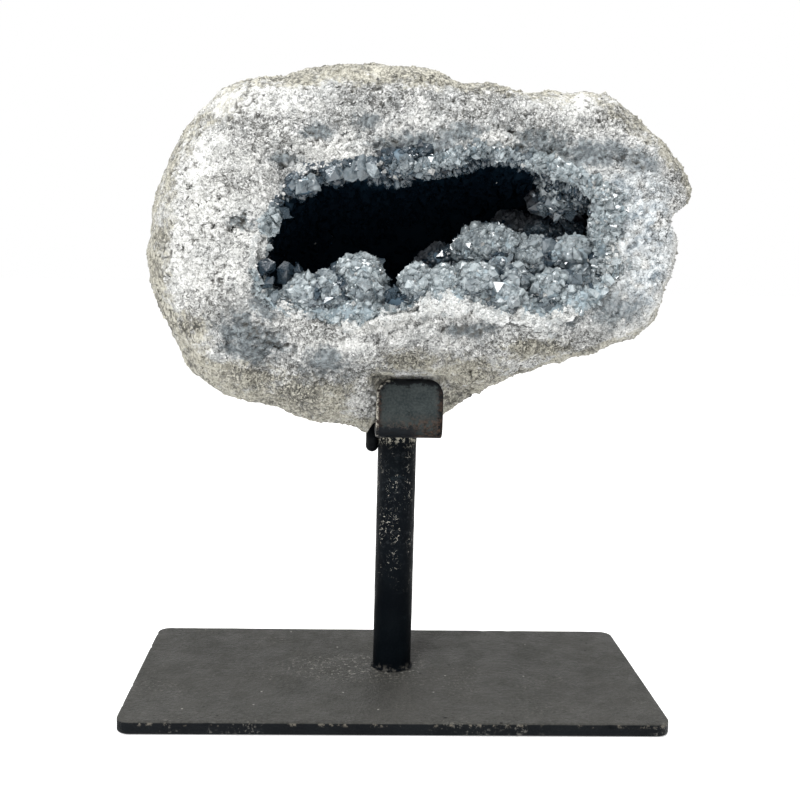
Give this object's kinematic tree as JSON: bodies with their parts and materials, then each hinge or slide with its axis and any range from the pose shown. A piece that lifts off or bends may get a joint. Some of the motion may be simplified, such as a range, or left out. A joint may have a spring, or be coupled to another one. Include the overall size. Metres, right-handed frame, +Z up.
{
  "type": "celestite geode on stand",
  "caption": "Hollow grey-white geode nodule lined with pale blue celestite crystals, held in a black steel cradle on a round post and a flat rectangular base.",
  "frame": {"origin": "centre of the base plate's underside", "axes": "+Z up; -Y towards the viewer, the way the geode's open mouth faces; +X to the viewer's right"},
  "size_m": [0.2652, 0.1419, 0.3057],
  "materials": {
    "black_steel": "worn matt black paint over steel",
    "rock": "rough and chalky",
    "celestite": "glassy crystal faces"
  },
  "bodies": {
    "root": {"base_plate": "black_steel", "post": "black_steel", "cradle_bracket": "black_steel", "rear_prong": "black_steel", "geode": "rock", "crystal_crust": "celestite"}
  },
  "joints": []
}
